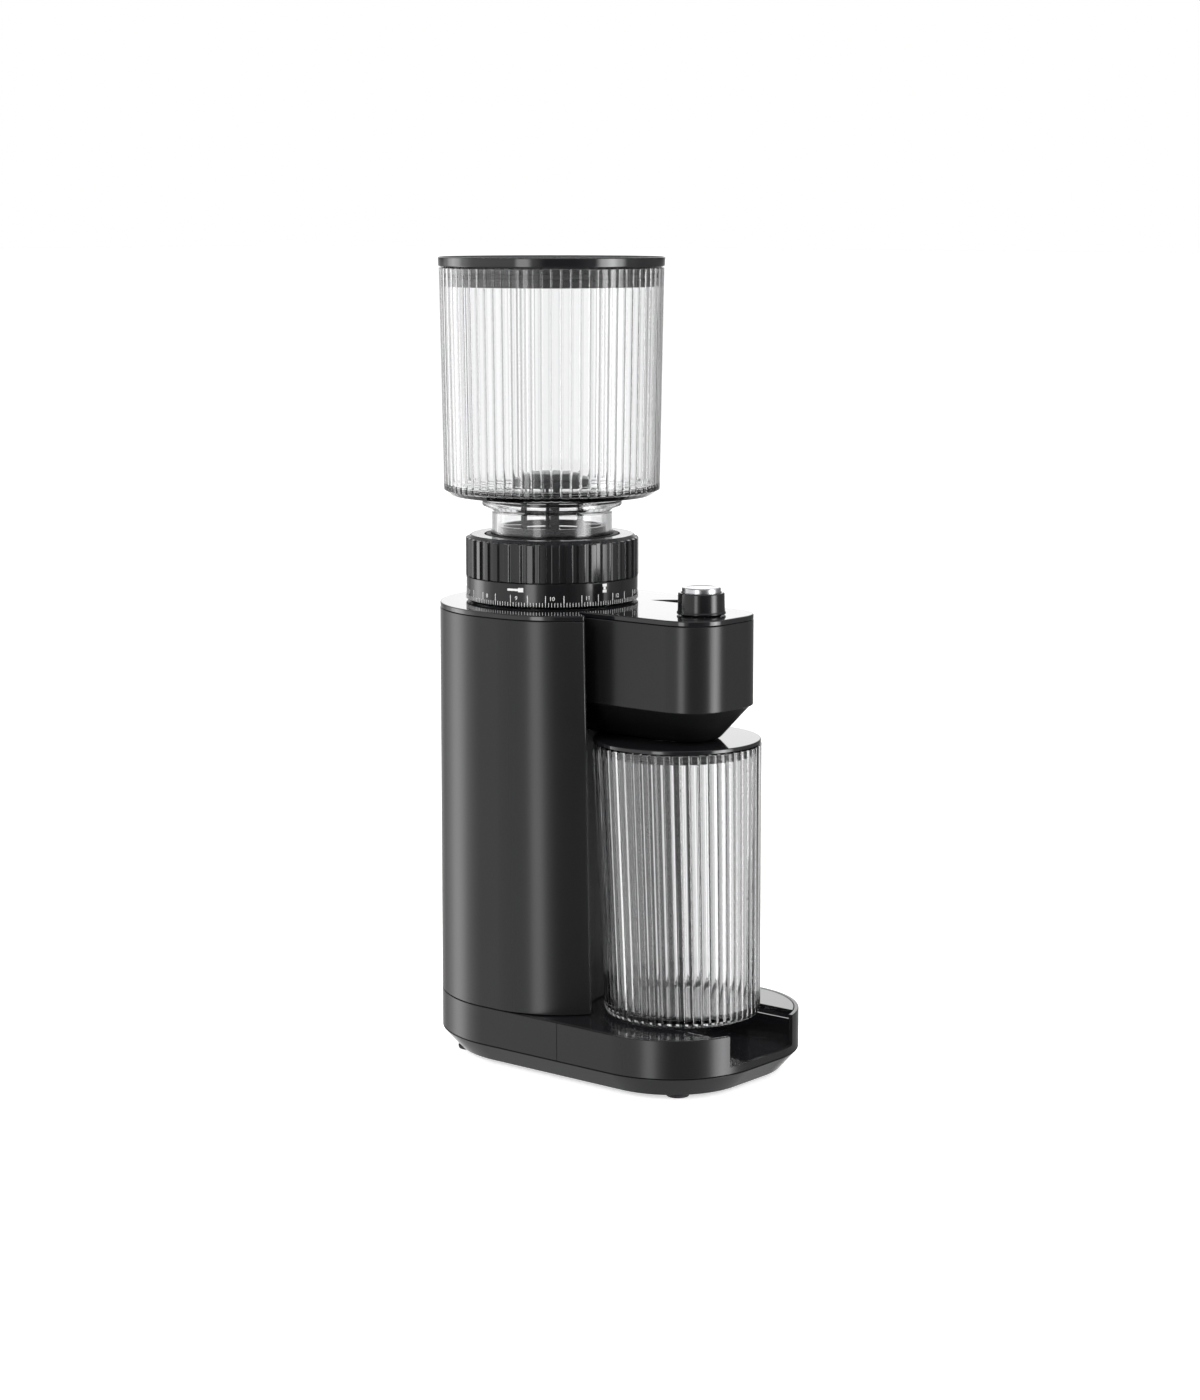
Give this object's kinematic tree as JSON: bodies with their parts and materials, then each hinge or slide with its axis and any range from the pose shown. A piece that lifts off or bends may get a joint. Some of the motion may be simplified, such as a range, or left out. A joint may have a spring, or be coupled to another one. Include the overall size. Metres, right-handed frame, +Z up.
{
  "type": "burr coffee grinder",
  "caption": "Electric burr coffee grinder: fluted clear hopper, ribbed adjustment ring, spout head with push knob, and a fluted clear grounds container on a low base.",
  "frame": {"origin": "middle of the bounding box's bottom face, on the table", "axes": "+Z up, -Y to the front where the spout and the container are, +X to the right seen from the front"},
  "size_m": [0.123, 0.1956, 0.4099],
  "materials": {
    "charcoal_body": "satin metallic charcoal",
    "gloss_black": "polished",
    "black_plastic": "fine grain",
    "ring_black": "satin",
    "clear_plastic": "clear",
    "rubber": "matt",
    "steel": "machined",
    "silver_cap": "bright, finely turned",
    "cast_alloy": "as cast",
    "copper_winding": "lacquered wire",
    "magnet": "sintered",
    "nylon": "matt",
    "board_green": "solder mask"
  },
  "bodies": {
    "base_and_column": {"base_pan": "charcoal_body", "foot_1": "rubber", "foot_2": "rubber", "foot_3": "rubber", "foot_4": "rubber", "base_screw_1": "steel", "base_screw_2": "steel", "base_screw_3": "steel", "base_screw_4": "steel", "base_front_band": "charcoal_body", "base_rear_band": "charcoal_body", "base_deck": "gloss_black", "cord_gland": "rubber", "column_housing": "charcoal_body", "head_shell": "charcoal_body", "top_plate": "gloss_black", "head_chin": "black_plastic", "grounds_chute": "black_plastic", "control_board": "board_green", "encoder_body": "black_plastic", "chassis_plate": "steel", "motor_shelf": "steel", "gearbox_base": "cast_alloy", "gearbox_cover": "cast_alloy", "lower_bearing": "steel", "upper_bearing": "steel", "motor_can": "steel", "motor_end_bell": "black_plastic", "motor_magnet_right": "magnet", "motor_magnet_left": "magnet", "grinding_chamber": "cast_alloy", "power_board": "board_green"},
    "ring": {"adjustment_ring": "ring_black", "dial_scale": "gloss_black"},
    "upper_burr": {"burr_carrier": "black_plastic", "outer_burr": "steel", "hopper_socket": "black_plastic"},
    "hopper": {"hopper_body": "clear_plastic", "hopper_guard": "black_plastic"},
    "hopper_cover": {"hopper_lid": "gloss_black", "hopper_lid_seal": "rubber"},
    "rotor": {"motor_shaft": "steel", "motor_armature": "copper_winding", "motor_fan": "black_plastic", "motor_pinion": "steel"},
    "lower_burr": {"drive_gear": "nylon", "burr_spindle": "steel", "sweeper": "black_plastic", "cone_burr": "steel", "burr_screw": "steel"},
    "knob": {"control_knob": "black_plastic", "encoder_shaft": "steel", "button_spring": "steel"},
    "button": {"knob_button": "silver_cap"},
    "container": {"container_body": "clear_plastic", "container_lid": "gloss_black", "container_lid_seal": "rubber"}
  },
  "joints": [
    {"name": "ring_turn", "type": "hinge", "parent": "base_and_column", "child": "ring", "pos_m": [0, 0.03975, 0.2515], "axis": [0, 0, 1], "range_deg": [-150, 150]},
    {"name": "carrier_slide", "type": "slide", "parent": "base_and_column", "child": "upper_burr", "axis": [0, 0, 1], "range_m": [-0.00061, 0.00061]},
    {"name": "hopper_lift", "type": "slide", "parent": "upper_burr", "child": "hopper", "axis": [0, 0, 1], "range_m": [0, 0.12]},
    {"name": "lid_lift", "type": "slide", "parent": "hopper", "child": "hopper_cover", "axis": [0, 0, 1], "range_m": [0, 0.1]},
    {"name": "motor_spin", "type": "hinge", "parent": "base_and_column", "child": "rotor", "pos_m": [0, 0.06225, 0.125], "axis": [0, 0, 1], "continuous": true},
    {"name": "burr_spin", "type": "hinge", "parent": "base_and_column", "child": "lower_burr", "pos_m": [0, 0.03975, 0.21], "axis": [0, 0, 1], "continuous": true},
    {"name": "knob_turn", "type": "hinge", "parent": "base_and_column", "child": "knob", "pos_m": [0, -0.05725, 0.24], "axis": [0, 0, 1], "continuous": true},
    {"name": "button_press", "type": "slide", "parent": "knob", "child": "button", "axis": [0, 0, -1], "range_m": [0, 0.0014], "stiffness_N_per_m": 500, "springref_m": -0.001, "deforming": ["button_spring"]},
    {"name": "container_slide", "type": "slide", "parent": "base_and_column", "child": "container", "axis": [0, -1, 0], "range_m": [0, 0.15]}
  ],
  "couplings": [
    {"joint": "carrier_slide", "follows": "ring_turn", "m_per_rad": 0.000229},
    {"joint": "burr_spin", "follows": "motor_spin", "ratio": -0.32353}
  ]
}
